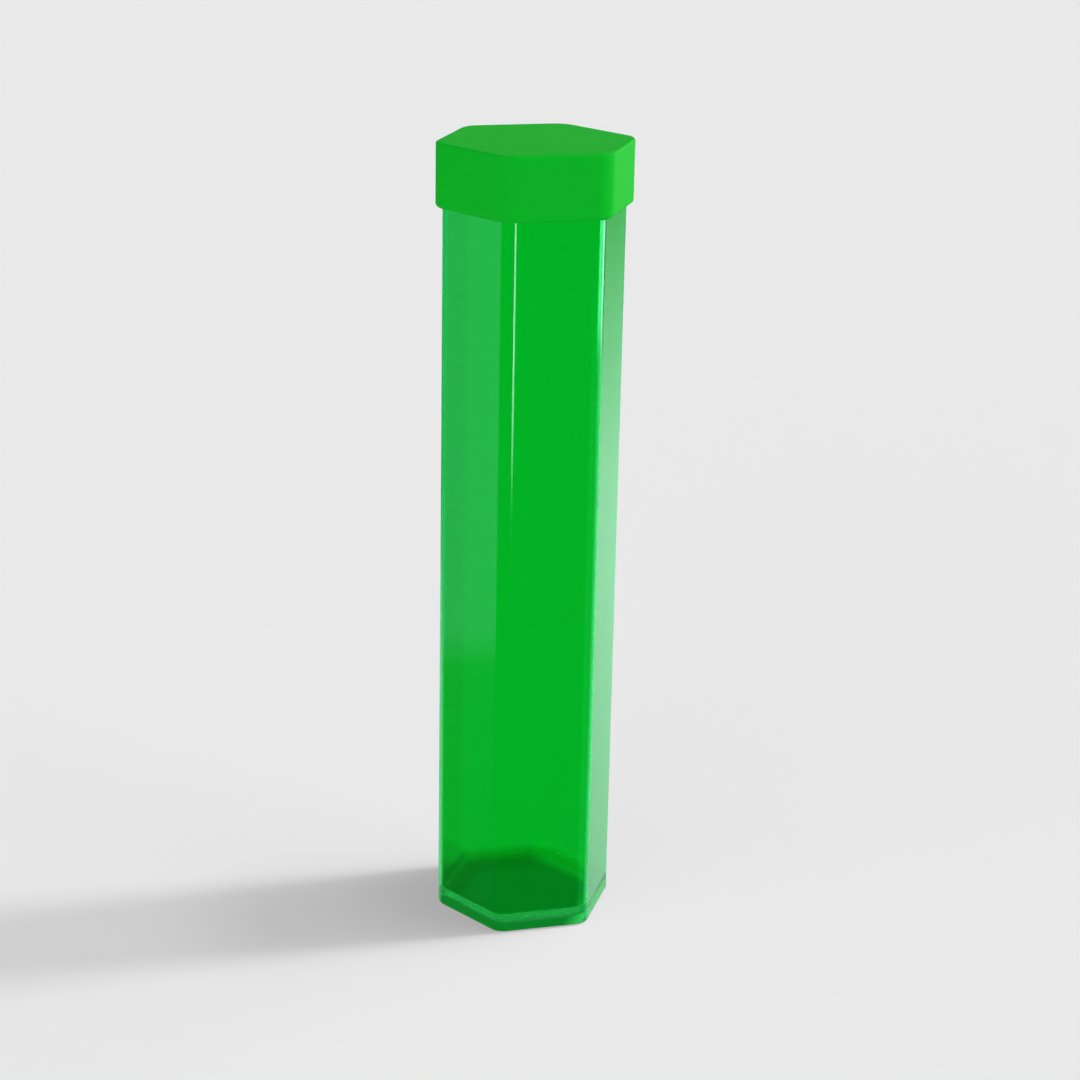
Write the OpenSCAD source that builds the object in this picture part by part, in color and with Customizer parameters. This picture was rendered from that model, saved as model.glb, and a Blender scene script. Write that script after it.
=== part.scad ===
// Six-sided tube that keeps a rolled playmat: a clear tube welded to a moulded base, with a push-on lid.
// The origin is the centre of the underside, +Z is up and the -Y flat is the front.
// Tube, base and lid are built about the same hexagon, the one through the centres of the rounded corners,
// so that they stay concentric at every size.

/* [Tube] */
// Width of the tube outside, from flat to flat
tube_flats = 76.8; // [60:0.2:120]
// Outside radius of the tube's upright corners
tube_corner = 8; // [6:0.5:14]
// Thickness of the tube's wall
tube_wall = 1.6; // [1.2:0.1:4]
// Clear length inside, from the floor to the underside of the lid
inside_length = 367.8; // [150:0.1:600]

/* [Base] */
// Depth of the hollow under the floor
foot_depth = 5; // [2:0.1:12]
// Thickness of the wall round that hollow
foot_wall = 2.4; // [1.2:0.1:4]
// Radius of the outer edge that stands on the table
foot_edge = 1.5; // [0.4:0.1:3]
// Radius at the top of the hollow, where its wall turns into the floor
hollow_fillet = 1; // [0.2:0.1:3]
// Thickness of the floor
floor_thick = 4.2; // [2:0.1:10]
// Radius inside, where the floor turns up into the tube's wall
floor_fillet = 0.4; // [0.2:0.1:6]
// Plain wall left on the base between that radius and the weld
weld_stub = 0.5; // [0.2:0.1:6]

/* [Lid] */
// Height of the lid outside
lid_height = 30; // [16:0.5:80]
// Thickness of the lid's top
lid_top = 3; // [1.6:0.1:6]
// Thickness of the lid's skirt
lid_wall = 2.8; // [1.6:0.1:5]
// Gap all round between the tube and the skirt
lid_gap = 0.45; // [0.2:0.05:1]
// Radius of the edge round the lid's top
crown_edge = 1.2; // [0.5:0.1:5]
// Radius of the outer edge round the skirt's mouth
mouth_edge = 2; // [0.3:0.1:3]

/* [Grip ribs] */
// Width of one rib inside the skirt
rib_width = 2.4; // [1:0.1:5]
// Distance between the two ribs of one flat, centre to centre
rib_spread = 18; // [8:0.5:24]
// Height of a rib's foot above the skirt's mouth
rib_foot = 4; // [1.5:0.5:10]
// Gap between a rib and the flat of the tube
rib_clearance = 0.05; // [0.02:0.01:0.15]

/* [Hidden] */
$fn = 96;

sides = 6;
turn = 360 / sides;

// The hexagon through the corner centres
centre_flat = tube_flats / 2 - tube_corner;
centre_corner = centre_flat / cos(turn / 2);

// Radii about a corner centre, from the inside out
hollow_r = tube_corner - foot_wall;
bore_r = tube_corner - tube_wall;
skirt_r = tube_corner + lid_gap;
lid_r = skirt_r + lid_wall;

// Least plain face that is left beside a rounded edge
land = 0.2;

// Edge radii, within the walls that carry them
foot_r = min(foot_edge, foot_wall - land);
hollow_fillet_r = min(hollow_fillet, hollow_r - land, foot_depth - land);
floor_fillet_r = min(floor_fillet, bore_r - land);
crown_r = min(crown_edge, lid_height / 2 - land);
mouth_r = min(mouth_edge, lid_wall - land);

// Levels, from the table up
floor_z = foot_depth + floor_thick;
weld_z = floor_z + floor_fillet_r + weld_stub;
rim_z = floor_z + inside_length;
lid_z = rim_z + lid_top;
mouth_z = lid_z - lid_height;

// A corner's round stands this proud of the flats, so that the two cross cleanly where they meet
blend = 0.002;
// How far a cut runs past the face it opens
past = 1;
// Steps in a full turn of a rounded edge
edge_steps = 36;

// The point at radius r about corner number k, at part of a turn from the corner's own direction
function corner_point(k, r, part) =
    centre_corner * [cos(k * turn), sin(k * turn)] + r * [cos((k + part) * turn), sin((k + part) * turn)];

// Hexagon with its corners rounded to r
module rounded_hexagon(r) {
    polygon([for (k = [0 : sides - 1], part = [-0.5, 0.5]) corner_point(k, r, part)]);
    for (k = [0 : sides - 1]) translate(corner_point(k, 0, 0)) circle(r + blend);
}

// Straight six-sided block between two levels
module hex_prism(r, z0, z1) {
    translate([0, 0, z0]) linear_extrude(z1 - z0) rounded_hexagon(r);
}

// What a radius takes off a corner that stands at the origin
module rounding(r) {
    if (r > 0) difference() {
        square(r);
        translate([r, r]) circle(r);
    }
}

// The same block with rounded edges: six turned corners under one skin
module soft_block(r, z0, z1, low_r = 0, top_r = 0) {
    hull() for (k = [0 : sides - 1]) translate(corner_point(k, 0, 0)) rotate(k * turn)
        rotate_extrude($fn = edge_steps) difference() {
            $fn = edge_steps;
            translate([0, z0]) square([r, z1 - z0]);
            translate([r, z0]) mirror([1, 0]) rounding(low_r);
            translate([r, z1]) mirror([1, 0]) mirror([0, 1]) rounding(top_r);
        }
}

// The clear tube, cut square at the weld and at the rim
module clear_tube() {
    color([0.05, 0.72, 0.16, 0.5]) difference() {
        hex_prism(tube_corner, weld_z, rim_z);
        hex_prism(bore_r, weld_z - past, rim_z + past);
    }
}

// The moulded base: a floor over a hollow foot, which turns up into a short wall, flush with the tube
module base_cup() {
    color([0.04, 0.6, 0.14, 0.6]) difference() {
        soft_block(tube_corner, 0, weld_z, low_r = foot_r);
        soft_block(hollow_r, -past, foot_depth, top_r = hollow_fillet_r);
        soft_block(bore_r, floor_z, weld_z + past, low_r = floor_fillet_r);
    }
}

// The push-on lid: its top rests on the rim and its skirt goes down outside the tube
module lid_cap() {
    color([0.04, 0.66, 0.13]) {
        difference() {
            soft_block(lid_r, mouth_z, lid_z, low_r = mouth_r, top_r = crown_r);
            hex_prism(skirt_r, mouth_z - past, rim_z);
        }
        for (k = [0 : sides - 1]) rotate(k * turn) grip_ribs();
    }
}

// The two ribs inside the front flat of the skirt, which hold the lid on the tube
module grip_ribs() {
    rib_face = centre_flat + tube_corner + rib_clearance;
    rib_root = centre_flat + skirt_r + lid_wall / 2;
    rib_z = mouth_z + rib_foot;
    for (way = [-1, 1])
        translate([way * rib_spread / 2 - rib_width / 2, -rib_root, rib_z])
            cube([rib_width, rib_root - rib_face, rim_z + lid_top / 2 - rib_z]);
}

clear_tube();
base_cup();
lid_cap();
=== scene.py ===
import math

import bmesh
import bpy
from mathutils import Matrix, Vector


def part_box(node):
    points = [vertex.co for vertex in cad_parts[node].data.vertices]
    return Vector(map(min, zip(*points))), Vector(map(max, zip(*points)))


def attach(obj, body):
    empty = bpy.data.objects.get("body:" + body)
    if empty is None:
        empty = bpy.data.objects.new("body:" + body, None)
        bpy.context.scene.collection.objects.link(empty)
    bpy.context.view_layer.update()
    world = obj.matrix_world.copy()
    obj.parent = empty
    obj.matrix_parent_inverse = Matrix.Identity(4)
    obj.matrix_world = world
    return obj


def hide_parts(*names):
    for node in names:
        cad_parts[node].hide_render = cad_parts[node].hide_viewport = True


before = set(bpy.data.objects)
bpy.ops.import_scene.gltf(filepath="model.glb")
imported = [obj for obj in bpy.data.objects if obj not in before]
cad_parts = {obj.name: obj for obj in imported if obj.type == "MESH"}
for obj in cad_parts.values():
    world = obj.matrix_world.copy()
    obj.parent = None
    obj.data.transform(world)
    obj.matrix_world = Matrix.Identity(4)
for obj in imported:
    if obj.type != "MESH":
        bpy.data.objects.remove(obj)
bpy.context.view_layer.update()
print("frame loaded:", ", ".join(sorted(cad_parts)))

scene = bpy.context.scene
scene.view_settings.view_transform = "Standard"

# Light turns many times inside clear walls, so its paths may be long
scene.cycles.max_bounces = 32
scene.cycles.glossy_bounces = 24
scene.cycles.transmission_bounces = 24

# Camera, at the angle of the photo
photoView = {
    "aim": (0.00505, -0.00131, 0.1880),
    "distance": 1.1865,
    "azimuth": -14.52,
    "elevation": 18.95,
    "roll": 1.13,
    "lens": 82.7,
    "farthest": 200,
}


def placeCamera():
    view = photoView
    turn = math.radians(view["azimuth"])
    rise = math.radians(view["elevation"])
    back = Vector((math.sin(turn) * math.cos(rise), -math.cos(turn) * math.cos(rise), math.sin(rise)))
    place = Matrix.Translation(Vector(view["aim"]) + back * view["distance"])
    aim = Matrix.Rotation(turn, 4, "Z") @ Matrix.Rotation(math.pi / 2 - rise, 4, "X")
    lens = bpy.data.cameras.new("photoCamera")
    lens.lens = view["lens"]
    lens.clip_end = view["farthest"]
    camera = bpy.data.objects.new("photoCamera", lens)
    camera.matrix_world = place @ aim @ Matrix.Rotation(math.radians(view["roll"]), 4, "Z")
    scene.collection.objects.link(camera)
    scene.camera = camera


placeCamera()
print("camera placed")


# Node helpers
def addNode(tree, kind, inputs=None, **settings):
    node = tree.nodes.new(kind)
    for name, value in settings.items():
        setattr(node, name, value)
    for name, value in (inputs or {}).items():
        node.inputs[name].default_value = value
    return node


def newMaterial(name):
    material = bpy.data.materials.new(name)
    material.use_nodes = True
    tree = material.node_tree
    return material, tree, tree.nodes["Principled BSDF"], tree.nodes["Material Output"]


# Light rubs and hairlines from handling, shared by both plastics
scuffLook = {
    "patchFrom": 0.48,
    "patchTo": 0.72,
    "lineFrom": 0.58,
    "lineTo": 0.66,
    "lineBend": 0.6,
}


def makeScuffGroup():
    look = scuffLook
    group = bpy.data.node_groups.new("handlingScuffs", "ShaderNodeTree")
    link = group.links.new
    group.interface.new_socket("Vector", in_out="INPUT", socket_type="NodeSocketVector")
    group.interface.new_socket("Patch Scale", in_out="INPUT", socket_type="NodeSocketFloat")
    group.interface.new_socket("Line Scale", in_out="INPUT", socket_type="NodeSocketFloat")
    group.interface.new_socket("Mask", in_out="OUTPUT", socket_type="NodeSocketFloat")
    start = addNode(group, "NodeGroupInput")
    end = addNode(group, "NodeGroupOutput")
    patches = addNode(group, "ShaderNodeTexNoise", {"Detail": 3.0, "Roughness": 0.6})
    patchRange = addNode(group, "ShaderNodeMapRange", {
        "From Min": look["patchFrom"], "From Max": look["patchTo"]})
    link(start.outputs["Vector"], patches.inputs["Vector"])
    link(start.outputs["Patch Scale"], patches.inputs["Scale"])
    link(patches.outputs["Fac"], patchRange.inputs["Value"])
    lines = addNode(group, "ShaderNodeTexNoise", {
        "Detail": 2.0, "Roughness": 0.5, "Distortion": look["lineBend"]})
    lineRange = addNode(group, "ShaderNodeMapRange", {
        "From Min": look["lineFrom"], "From Max": look["lineTo"]})
    link(start.outputs["Vector"], lines.inputs["Vector"])
    link(start.outputs["Line Scale"], lines.inputs["Scale"])
    link(lines.outputs["Fac"], lineRange.inputs["Value"])
    both = addNode(group, "ShaderNodeMath", operation="MULTIPLY")
    link(patchRange.outputs["Result"], both.inputs[0])
    link(lineRange.outputs["Result"], both.inputs[1])
    link(both.outputs["Value"], end.inputs["Mask"])
    return group


scuffGroup = makeScuffGroup()

# The wall is a little cloudy inside, under a glossy skin
clearLook = {
    "tint": (0.015, 0.74, 0.135, 1),
    "baseTint": (0.045, 0.79, 0.15, 1),
    "absorbColor": (0.5, 0.92, 0.7, 1),
    "absorbDensity": 5.0,
    "refraction": 1.2,
    "cloud": 0.18,
    "scuffed": 0.24,
    "patchScale": 14.0,
    "lineScale": 160.0,
    "baseCloud": 0.19,
    "gloss": 0.6,
    "baseGloss": 0.1,
    "baseTop": 0.0097,
    "baseBlend": 0.0003,
    "glossBlur": 0.03,
    "glossRefraction": 1.5,
    "drawLineScale": (260.0, 260.0, 1.2),
    "drawLineDepth": 0.000004,
    "drawLineStrength": 0.15,
}


def makeClearPlastic():
    look = clearLook
    material, tree, plastic, output = newMaterial("clearGreenPlastic")
    link = tree.links.new
    coords = addNode(tree, "ShaderNodeTexCoord")
    plastic.inputs["IOR"].default_value = look["refraction"]
    plastic.inputs["Transmission Weight"].default_value = 1.0
    plastic.inputs["Coat Roughness"].default_value = look["glossBlur"]
    plastic.inputs["Coat IOR"].default_value = look["glossRefraction"]

    # The moulded base is paler and duller than the tube above it
    level = addNode(tree, "ShaderNodeSeparateXYZ")
    above = addNode(tree, "ShaderNodeMapRange", {
        "From Min": look["baseTop"] - look["baseBlend"], "From Max": look["baseTop"] + look["baseBlend"]})
    tint = addNode(tree, "ShaderNodeMix", {"A": look["baseTint"], "B": look["tint"]}, data_type="RGBA")
    gloss = addNode(tree, "ShaderNodeMapRange", {"To Min": look["baseGloss"], "To Max": look["gloss"]})
    link(coords.outputs["Object"], level.inputs["Vector"])
    link(level.outputs["Z"], above.inputs["Value"])
    link(above.outputs["Result"], tint.inputs["Factor"])
    link(above.outputs["Result"], gloss.inputs["Value"])
    link(tint.outputs["Result"], plastic.inputs["Base Color"])
    link(gloss.outputs["Result"], plastic.inputs["Coat Weight"])

    # Handling clouds the tube a little more
    scuffs = addNode(tree, "ShaderNodeGroup", {
        "Patch Scale": look["patchScale"], "Line Scale": look["lineScale"]}, node_tree=scuffGroup)
    cloud = addNode(tree, "ShaderNodeMapRange", {"To Min": look["cloud"], "To Max": look["scuffed"]})
    haze = addNode(tree, "ShaderNodeMix", {"A": look["baseCloud"]})
    link(coords.outputs["Object"], scuffs.inputs["Vector"])
    link(scuffs.outputs["Mask"], cloud.inputs["Value"])
    link(above.outputs["Result"], haze.inputs["Factor"])
    link(cloud.outputs["Result"], haze.inputs["B"])
    link(haze.outputs["Result"], plastic.inputs["Roughness"])

    # Faint lines along the tube, from the die it was drawn through
    along = addNode(tree, "ShaderNodeMapping", {"Scale": look["drawLineScale"]})
    drawLines = addNode(tree, "ShaderNodeTexNoise", {"Scale": 1.0, "Detail": 3.0})
    tubeLines = addNode(tree, "ShaderNodeMath", operation="MULTIPLY")
    bump = addNode(tree, "ShaderNodeBump", {
        "Strength": look["drawLineStrength"], "Distance": look["drawLineDepth"]})
    link(coords.outputs["Object"], along.inputs["Vector"])
    link(along.outputs["Vector"], drawLines.inputs["Vector"])
    link(drawLines.outputs["Fac"], tubeLines.inputs[0])
    link(above.outputs["Result"], tubeLines.inputs[1])
    link(tubeLines.outputs["Value"], bump.inputs["Height"])
    link(bump.outputs["Normal"], plastic.inputs["Normal"])

    absorb = addNode(tree, "ShaderNodeVolumeAbsorption", {
        "Color": look["absorbColor"], "Density": look["absorbDensity"]})
    link(absorb.outputs["Volume"], output.inputs["Volume"])
    return material


# The lid is one solid green with a fine satin grain
lidLook = {
    "green": (0.0015, 0.41, 0.014, 1),
    "paleGreen": (0.003, 0.44, 0.020, 1),
    "pigmentScale": 26.0,
    "satin": 0.52,
    "rubbed": 0.40,
    "patchScale": 30.0,
    "lineScale": 220.0,
    "shine": 0.024,
    "grainScale": 1900.0,
    "grainDepth": 0.00002,
    "grainStrength": 0.35,
}


def makeLidPlastic():
    look = lidLook
    material, tree, plastic, output = newMaterial("satinGreenPlastic")
    link = tree.links.new
    coords = addNode(tree, "ShaderNodeTexCoord")
    plastic.inputs["Specular IOR Level"].default_value = look["shine"]

    pigment = addNode(tree, "ShaderNodeTexNoise", {"Scale": look["pigmentScale"], "Detail": 4.0})
    tone = addNode(tree, "ShaderNodeMix", {"A": look["green"], "B": look["paleGreen"]}, data_type="RGBA")
    link(coords.outputs["Object"], pigment.inputs["Vector"])
    link(pigment.outputs["Fac"], tone.inputs["Factor"])
    link(tone.outputs["Result"], plastic.inputs["Base Color"])

    scuffs = addNode(tree, "ShaderNodeGroup", {
        "Patch Scale": look["patchScale"], "Line Scale": look["lineScale"]}, node_tree=scuffGroup)
    polish = addNode(tree, "ShaderNodeMapRange", {"To Min": look["satin"], "To Max": look["rubbed"]})
    link(coords.outputs["Object"], scuffs.inputs["Vector"])
    link(scuffs.outputs["Mask"], polish.inputs["Value"])
    link(polish.outputs["Result"], plastic.inputs["Roughness"])

    grain = addNode(tree, "ShaderNodeTexNoise", {"Scale": look["grainScale"], "Detail": 2.0})
    bump = addNode(tree, "ShaderNodeBump", {
        "Strength": look["grainStrength"], "Distance": look["grainDepth"]})
    link(coords.outputs["Object"], grain.inputs["Vector"])
    link(grain.outputs["Fac"], bump.inputs["Height"])
    link(bump.outputs["Normal"], plastic.inputs["Normal"])
    return material


clearPlastic = makeClearPlastic()
lidPlastic = makeLidPlastic()
print("plastics mixed")

# Mesh helpers: every piece is one profile carried round a rounded hexagon, corners on X and flats on Y
sideTurn = math.radians(60)
joinWithin = 0.000002
cutWithin = 0.000001
flatWithin = 0.00001


# Corner centres and corner radius of a node's rounded hexagon, from its box
def hexPlan(node):
    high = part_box(node)[1]
    lean = 1 / math.cos(sideTurn / 2)
    radius = (high.y * lean - high.x) / (lean - 1)
    reach = (high.y - radius) * lean
    return [Matrix.Rotation(k * sideTurn, 3, "Z") @ Vector((reach, 0, 0)) for k in range(6)], radius


# points are (out from the corner centre, height); rounds gives some of them a radius
def drawProfile(bm, points, rounds, steps):
    verts = [bm.verts.new((out, 0, up)) for out, up in points]
    for pair in zip(verts, verts[1:]):
        bm.edges.new(pair)
    for index, radius in rounds.items():
        bmesh.ops.bevel(bm, geom=[verts[index]], offset=radius, offset_type="OFFSET", segments=steps,
                        profile=0.5, affect="VERTICES", material=-1)


# Each pass spins the profile round one corner and draws it along the flat to the next
def carryRound(bm, centres, steps):
    place = Matrix.Translation(centres[0]) @ Matrix.Rotation(-sideTurn / 2, 4, "Z")
    bmesh.ops.transform(bm, matrix=place, verts=bm.verts)
    line = bm.edges[:]
    for here, there in zip(centres, centres[1:] + centres[:1]):
        ends = list(dict.fromkeys(v for e in line for v in e.verts))
        turned = bmesh.ops.spin(bm, geom=ends + line, cent=here, axis=(0, 0, 1),
                                angle=sideTurn, steps=steps)
        line = [g for g in turned["geom_last"] if isinstance(g, bmesh.types.BMEdge)]
        run = bmesh.ops.extrude_edge_only(bm, edges=line)["geom"]
        moved = [g for g in run if isinstance(g, bmesh.types.BMVert)]
        bmesh.ops.translate(bm, vec=there - here, verts=moved)
        line = [g for g in run if isinstance(g, bmesh.types.BMEdge) and set(g.verts) <= set(moved)]
    bmesh.ops.remove_doubles(bm, verts=bm.verts, dist=joinWithin)
    bmesh.ops.holes_fill(bm, edges=[e for e in bm.edges if e.is_boundary], sides=0)
    bmesh.ops.recalc_face_normals(bm, faces=bm.faces)


def finishPiece(bm, name, material):
    for face in bm.faces:
        face.smooth = True
    mesh = bpy.data.meshes.new(name)
    bm.to_mesh(mesh)
    bm.free()
    mesh.materials.append(material)
    piece = bpy.data.objects.new(name, mesh)
    scene.collection.objects.link(piece)
    flats = piece.modifiers.new("flatsStayFlat", "WEIGHTED_NORMAL")
    flats.weight = 100
    flats.keep_sharp = True
    return piece


# Clear tube and base, welded into one wall
clearSizes = {
    "wall": 0.0016,
    "footDepth": 0.0050,
    "footWall": 0.0024,
    "footEdge": 0.0015,
    "footLip": 0.0004,
    "hollowFillet": 0.0010,
    "floor": 0.0042,
    "floorFillet": 0.0004,
    "rimEdge": 0.0005,
    "rimRoom": 0.00005,
    "heart": 0.0002,
    "cornerSteps": 24,
    "edgeSteps": 12,
}


def makeClearBody():
    sizes = clearSizes
    centres, outer = hexPlan("clear_tube")
    bore = outer - sizes["wall"]
    hollow = outer - sizes["footWall"]
    heart = sizes["heart"]
    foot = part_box("base_cup")[0].z
    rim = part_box("clear_tube")[1].z - sizes["rimRoom"]
    ceiling = foot + sizes["footDepth"]
    floorTop = ceiling + sizes["floor"]
    bm = bmesh.new()
    line = [(heart, floorTop), (bore, floorTop), (bore, rim), (outer, rim),
            (outer, foot), (hollow, foot), (hollow, ceiling), (heart, ceiling)]
    rounds = {1: sizes["floorFillet"], 2: sizes["rimEdge"], 3: sizes["rimEdge"],
              4: sizes["footEdge"], 5: sizes["footLip"], 6: sizes["hollowFillet"]}
    drawProfile(bm, line, rounds, sizes["edgeSteps"])
    carryRound(bm, centres, sizes["cornerSteps"])
    return finishPiece(bm, "clear_body", clearPlastic)


clearBody = makeClearBody()
clearBody.visible_diffuse = False  # soft light passes the clear wall
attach(clearBody, "tube")
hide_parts("clear_tube", "base_cup")
print("clear body made:", len(clearBody.data.polygons), "faces")

# Push-on lid
lidSizes = {
    "wall": 0.0028,
    "top": 0.0030,
    "crownEdge": 0.0012,
    "mouthEdge": 0.0020,
    "innerEdge": 0.0003,
    "ribWidth": 0.0024,
    "ribSpread": 0.018,
    "ribFoot": 0.004,
    "ribDepth": 0.0004,
    "heart": 0.0002,
    "cornerSteps": 24,
    "edgeSteps": 12,
}


# Faces on one inner flat of the skirt, between two places along it and above a level
def skirtFaces(bm, flat, low=-1, high=1, over=0):
    found = []
    for face in bm.faces:
        centre = face.calc_center_median()
        facesIn = face.normal.dot(flat["inward"]) > 0.999
        onFlat = abs(centre.dot(flat["inward"]) + flat["wall"]) < flatWithin
        inRange = low < centre.dot(flat["along"]) < high and centre.z > over
        if facesIn and onFlat and inRange:
            found.append(face)
    return found


def cutFaces(bm, faces, point, normal):
    geom = dict.fromkeys(faces)
    for face in faces:
        geom.update(dict.fromkeys([*face.edges, *face.verts]))
    bmesh.ops.bisect_plane(bm, geom=list(geom), dist=cutWithin, plane_co=point, plane_no=normal)


# Two upright ribs on each inner flat of the skirt, raised towards the tube
def raiseRibs(bm, wall, foot):
    sizes = lidSizes
    ribs = []
    for k in range(6):
        turn = Matrix.Rotation(k * sideTurn, 3, "Z")
        along = turn @ Vector((1, 0, 0))
        inward = turn @ Vector((0, 1, 0))
        flat = {"along": along, "inward": inward, "wall": wall}
        for middle in (-sizes["ribSpread"] / 2, sizes["ribSpread"] / 2):
            low = middle - sizes["ribWidth"] / 2
            high = middle + sizes["ribWidth"] / 2
            for side in (low, high):
                cutFaces(bm, skirtFaces(bm, flat), along * side, along)
            cutFaces(bm, skirtFaces(bm, flat, low, high), Vector((0, 0, foot)), Vector((0, 0, 1)))
            ribs += [(face, inward) for face in skirtFaces(bm, flat, low, high, foot)]
    for face, inward in ribs:
        front = bmesh.ops.extrude_discrete_faces(bm, faces=[face])["faces"][0]
        bmesh.ops.translate(bm, vec=inward * sizes["ribDepth"], verts=front.verts)
        for beside in [other for edge in front.edges for other in edge.link_faces]:
            for edge in beside.edges:
                edge.smooth = False


def makeLid():
    sizes = lidSizes
    centres, outer = hexPlan("lid_cap")
    skirt = outer - sizes["wall"]
    heart = sizes["heart"]
    mouth, crown = (corner.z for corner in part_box("lid_cap"))
    ceiling = crown - sizes["top"]
    bm = bmesh.new()
    line = [(heart, ceiling), (skirt, ceiling), (skirt, mouth),
            (outer, mouth), (outer, crown), (heart, crown)]
    rounds = {1: sizes["innerEdge"], 2: sizes["innerEdge"], 3: sizes["mouthEdge"], 4: sizes["crownEdge"]}
    drawProfile(bm, line, rounds, sizes["edgeSteps"])
    carryRound(bm, centres, sizes["cornerSteps"])
    raiseRibs(bm, centres[0].x * math.cos(sideTurn / 2) + skirt, mouth + sizes["ribFoot"])
    return finishPiece(bm, "lid", lidPlastic)


lid = makeLid()
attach(lid, "lid")
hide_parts("lid_cap")
print("lid made:", len(lid.data.polygons), "faces")

# Floor, which the plastics' own shine passes by, as on a light table. Seen through the plastic it glows
# as pale as in plain view, but with painted shade beneath the base and painted green shade inside the foot.
floorLook = {
    "half": 20.0,
    "drop": 0.0002,
    "color": (0.86, 0.86, 0.86, 1),
    "matt": 0.9,
    "paintedShadeUnder": (0.35, 0.35, 0.40, 1),
    "paintedGreenShadeFoot": (0.07, 0.275, 0.125, 1),
    "seenAround": (0.84, 0.84, 0.84, 1),
    "footFrom": 0.025,
    "footTo": 0.029,
    # The painted shade is set off to the left, as if the lamps on the right lit the floor beneath the base
    "shadeCentre": (-0.010, 0, 0),
    "shadeFrom": 0.036,
    "shadeTo": 0.046,
}


def makeFloorFinish():
    look = floorLook
    material, tree, surface, output = newMaterial("paleFloor")
    link = tree.links.new
    coords = addNode(tree, "ShaderNodeTexCoord")
    surface.inputs["Base Color"].default_value = look["color"]
    surface.inputs["Roughness"].default_value = look["matt"]
    surface.inputs["Specular IOR Level"].default_value = 0.0

    # A six-sided zone, as the base is, for painting the base's shade: one colour inside it and another
    # round it
    def zone(centre, low, high, inner, outer):
        offset = addNode(tree, "ShaderNodeVectorMath", {1: centre}, operation="SUBTRACT")
        link(coords.outputs["Object"], offset.inputs[0])
        reach = None
        for k in range(3):
            turn = sideTurn * (k + 0.5)
            outward = (math.cos(turn), math.sin(turn), 0)
            across = addNode(tree, "ShaderNodeVectorMath", {1: outward}, operation="DOT_PRODUCT")
            plain = addNode(tree, "ShaderNodeMath", operation="ABSOLUTE")
            larger = addNode(tree, "ShaderNodeMath", {1: 0.0}, operation="MAXIMUM")
            link(offset.outputs["Vector"], across.inputs[0])
            link(across.outputs["Value"], plain.inputs[0])
            link(plain.outputs["Value"], larger.inputs[0])
            if reach:
                link(reach, larger.inputs[1])
            reach = larger.outputs["Value"]
        share = addNode(tree, "ShaderNodeMapRange", {"From Min": low, "From Max": high})
        blend = addNode(tree, "ShaderNodeMix", {"A": inner, "B": outer}, data_type="RGBA")
        link(reach, share.inputs["Value"])
        link(share.outputs["Result"], blend.inputs["Factor"])
        return blend

    # Painted shade beneath the base and painted green shade inside the foot, shown only through the plastic
    paintedFootShade = zone((0, 0, 0), look["footFrom"], look["footTo"], look["paintedShadeUnder"], look["paintedGreenShadeFoot"])
    paintedBaseShade = zone(look["shadeCentre"], look["shadeFrom"], look["shadeTo"],
                 look["paintedShadeUnder"], look["seenAround"])
    path = addNode(tree, "ShaderNodeLightPath")
    seen = addNode(tree, "ShaderNodeEmission")
    both = addNode(tree, "ShaderNodeMixShader")
    link(paintedFootShade.outputs["Result"], paintedBaseShade.inputs["A"])
    link(paintedBaseShade.outputs["Result"], seen.inputs["Color"])
    link(path.outputs["Is Transmission Ray"], both.inputs["Fac"])
    link(surface.outputs["BSDF"], both.inputs[1])
    link(seen.outputs["Emission"], both.inputs[2])
    link(both.outputs["Shader"], output.inputs["Surface"])
    return material


def makeFloor():
    bm = bmesh.new()
    bmesh.ops.create_grid(bm, x_segments=1, y_segments=1, size=floorLook["half"])
    bmesh.ops.translate(bm, vec=(0, 0, -floorLook["drop"]), verts=bm.verts)
    mesh = bpy.data.meshes.new("floor")
    bm.to_mesh(mesh)
    bm.free()
    mesh.materials.append(makeFloorFinish())
    floor = bpy.data.objects.new("floor", mesh)
    floor.visible_glossy = False
    scene.collection.objects.link(floor)


makeFloor()
print("floor laid")

# Studio light: a pale room, brighter near the horizon, with soft panels round it and lamps from the right.
# In plain view and through the plastic its level goes from seenLow to seenHigh between two heights.
roomLight = {
    "horizon": 0.49,
    "zenith": 0.17,
    "below": 0.01,
    "horizonBlur": 0.01,
    "seenLow": 0.81,
    "seenHigh": 0.25,
    "seenFrom": 0.1,
    "seenTo": 0.5,
}

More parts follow.
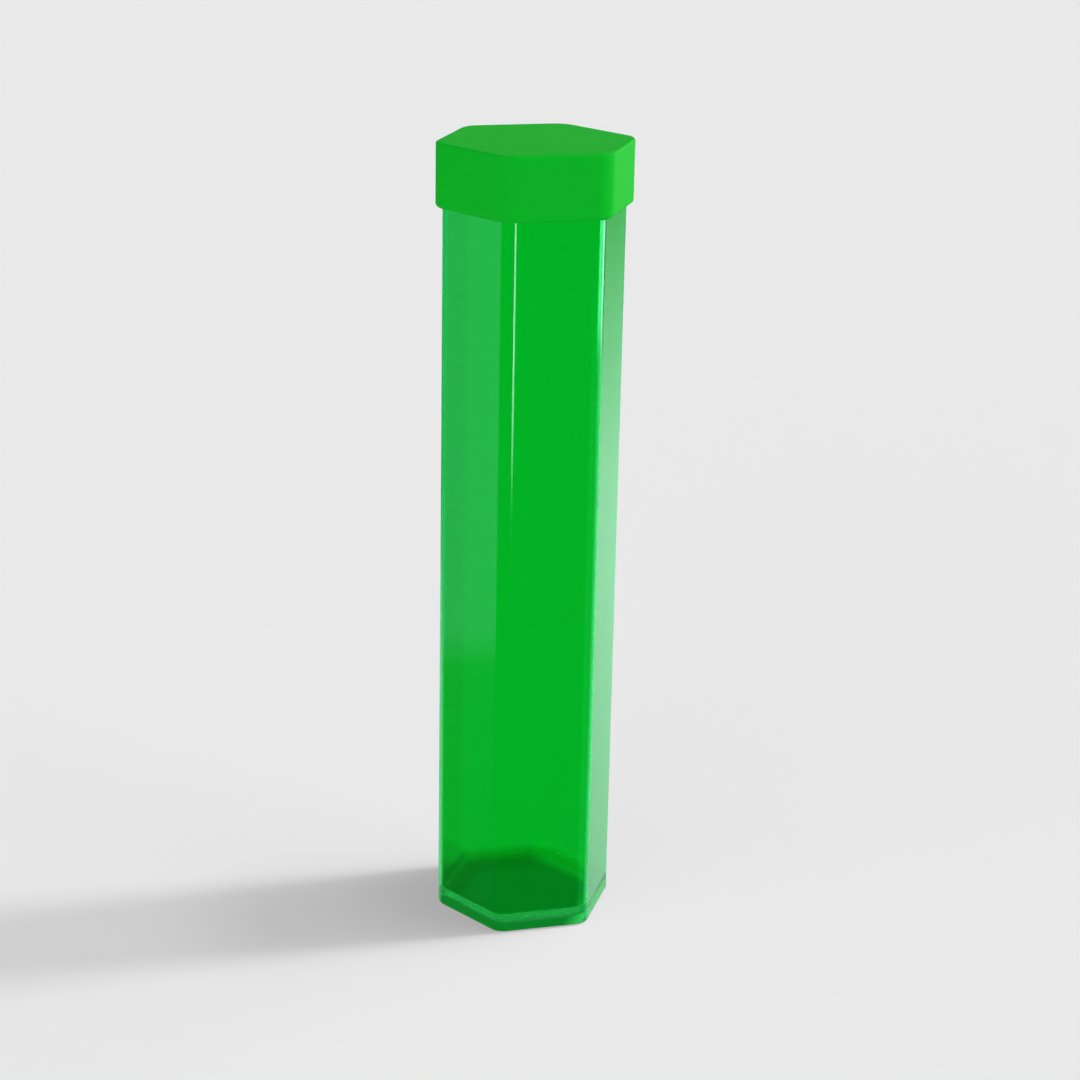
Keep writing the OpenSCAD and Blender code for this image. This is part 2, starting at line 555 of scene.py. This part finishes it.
# turn is a panel's azimuth from +X towards +Y, its half width and its blur;
# foot and head are the elevations of its lower and upper edge and their blur, all in degrees
panels = {
    "rightFill": {
        "turn": (-10, 40, 8), "foot": (4, 6), "head": (30, 8),
        "color": (1, 1, 1), "level": 3.2},
    "frontFill": {
        "turn": (-104, 40, 8), "foot": (4, 6), "head": (30, 8),
        "color": (1, 1, 1), "level": 0.65},
    "leftFill": {
        "turn": (-145, 35, 8), "foot": (4, 6), "head": (30, 8),
        "color": (1, 1, 1), "level": 1.95},
    "rightSheen": {
        "turn": (44, 26, 5), "foot": (-32, 12), "head": (-13.5, 4),
        "color": (0.69, 1, 0.87), "level": 1.3},
    "rightTop": {
        "turn": (44, 26, 5), "foot": (-16, 3), "head": (-9, 2),
        "color": (0, 1, 0.05), "level": 0.2},
    "rightEdge": {
        "turn": (5, 20, 15), "foot": (-40, 5), "head": (-14.5, 0.8),
        "color": (0.25, 1, 0.6), "level": 2.0},
    "rightSeam": {
        "turn": (14, 12, 8), "foot": (-26.5, 3.5), "head": (-14.6, 0.5),
        "color": (0, 1, 0.05), "level": 3.2},
    "rightGlow": {
        "turn": (-52, 17, 6), "foot": (-45, 5), "head": (-14, 2),
        "color": (0.05, 1, 0.3), "level": 1.2},
    "rightLine": {
        "turn": (6, 10, 1), "foot": (-14.3, 0.5), "head": (-11, 0.5),
        "color": (0.6, 1, 0.9), "level": 10},
    "greenLine": {
        "turn": (-20, 12, 4), "foot": (-14.3, 0.5), "head": (-11, 0.5),
        "color": (0.1, 1, 0.4), "level": 15},
    "lidSheen": {
        "turn": (44, 30, 8), "foot": (-8, 2), "head": (4, 2),
        "color": (1, 1, 1), "level": 3.8},
    "leftSheen": {
        "turn": (164, 9, 1.5), "foot": (-21.5, 0.4), "head": (-3, 0.4),
        "color": (0.42, 0.85, 1.15), "level": 0.95},
    "leftEdge": {
        "turn": (100, 28, 4), "foot": (-22, 2), "head": (-3, 1),
        "color": (0.3, 1, 0.55), "level": 0.6},
    "leftFoot": {
        "turn": (125, 28, 10), "foot": (-45, 5), "head": (-20, 2),
        "color": (0.5, 1, 0.7), "level": 1.3},
    "cornerLine": {
        "turn": (-88, 5.5, 0.3), "foot": (-17, 1), "head": (-11, 0.5),
        "color": (0.8, 0.95, 1.05), "level": 12},
}

# The upper lamps shorten the shadow, so that it pales away from the tube
suns = {
    "key": {"azimuth": 0, "elevation": 47, "angle": 7, "strength": 0.85},
    "high": {"azimuth": 0, "elevation": 73, "angle": 9, "strength": 0.34},
    "top": {"azimuth": 0, "elevation": 85, "angle": 9, "strength": 0.21},
}


def lightRoom():
    room = roomLight
    world = bpy.data.worlds.new("paleRoom")
    world.use_nodes = True
    tree = world.node_tree
    link = tree.links.new
    coords = addNode(tree, "ShaderNodeTexCoord")
    split = addNode(tree, "ShaderNodeSeparateXYZ")
    plan = addNode(tree, "ShaderNodeVectorMath", {1: (1, 1, 0)}, operation="MULTIPLY")
    heading = addNode(tree, "ShaderNodeVectorMath", operation="NORMALIZE")
    link(coords.outputs["Generated"], split.inputs["Vector"])
    link(coords.outputs["Generated"], plan.inputs[0])
    link(plan.outputs["Vector"], heading.inputs[0])
    height = split.outputs["Z"]

    def window(source, low, high, fromLevel=0.0, toLevel=1.0):
        edge = addNode(tree, "ShaderNodeMapRange", {
            "From Min": low, "From Max": high, "To Min": fromLevel, "To Max": toLevel})
        link(source, edge.inputs["Value"])
        return edge.outputs["Result"]

    def combine(operation, first, second):
        node = addNode(tree, "ShaderNodeMath", operation=operation)
        link(first, node.inputs[0])
        link(second, node.inputs[1])
        return node.outputs["Value"]

    def tinted(mask, color):
        node = addNode(tree, "ShaderNodeVectorMath", {0: color}, operation="SCALE")
        link(mask, node.inputs["Scale"])
        return node.outputs["Vector"]

    def panelGlow(panel):
        turn, half, turnBlur = (math.radians(angle) for angle in panel["turn"])
        low, lowBlur = (math.radians(angle) for angle in panel["foot"])
        high, highBlur = (math.radians(angle) for angle in panel["head"])
        middle = (math.cos(turn), math.sin(turn), 0)
        toward = addNode(tree, "ShaderNodeVectorMath", {1: middle}, operation="DOT_PRODUCT")
        link(heading.outputs["Vector"], toward.inputs[0])
        wide = math.cos(half + turnBlur)
        narrow = math.cos(max(half - turnBlur, 0))
        side = window(toward.outputs["Value"], wide, narrow, 0.0, panel["level"])
        foot = window(height, math.sin(low - lowBlur), math.sin(low + lowBlur))
        head = window(height, math.sin(high - highBlur), math.sin(high + highBlur), 1.0, 0.0)
        return tinted(combine("MULTIPLY", side, combine("MULTIPLY", foot, head)), panel["color"])

    sky = window(height, 0.0, 1.0, room["horizon"], room["zenith"])
    overFloor = window(height, -room["horizonBlur"], room["horizonBlur"], room["below"], 1.0)
    light = tinted(combine("MULTIPLY", sky, overFloor), (1, 1, 1))
    for panel in panels.values():
        total = addNode(tree, "ShaderNodeVectorMath", operation="ADD")
        link(light, total.inputs[0])
        link(panelGlow(panel), total.inputs[1])
        light = total.outputs["Vector"]

    # In plain view and through the plastic the room is as pale as the floor
    path = addNode(tree, "ShaderNodeLightPath")
    view = addNode(tree, "ShaderNodeMix", data_type="RGBA")
    pale = window(height, room["seenFrom"], room["seenTo"], room["seenLow"], room["seenHigh"])
    straight = combine("MAXIMUM", path.outputs["Is Camera Ray"], path.outputs["Is Transmission Ray"])
    link(straight, view.inputs["Factor"])
    link(light, view.inputs["A"])
    link(tinted(pale, (1, 1, 1)), view.inputs["B"])
    link(view.outputs["Result"], tree.nodes["Background"].inputs["Color"])
    scene.world = world


def addSun(name, sun):
    lamp = bpy.data.lights.new(name, "SUN")
    lamp.energy = sun["strength"]
    lamp.angle = math.radians(sun["angle"])
    holder = bpy.data.objects.new(name, lamp)
    turn = math.radians(sun["azimuth"])
    rise = math.radians(sun["elevation"])
    toLight = Vector((math.cos(turn) * math.cos(rise), math.sin(turn) * math.cos(rise), math.sin(rise)))
    holder.location = toLight
    holder.rotation_euler = toLight.to_track_quat("Z", "Y").to_euler()
    scene.collection.objects.link(holder)


lightRoom()
for name, sun in suns.items():
    addSun(name, sun)
print("stage lit")
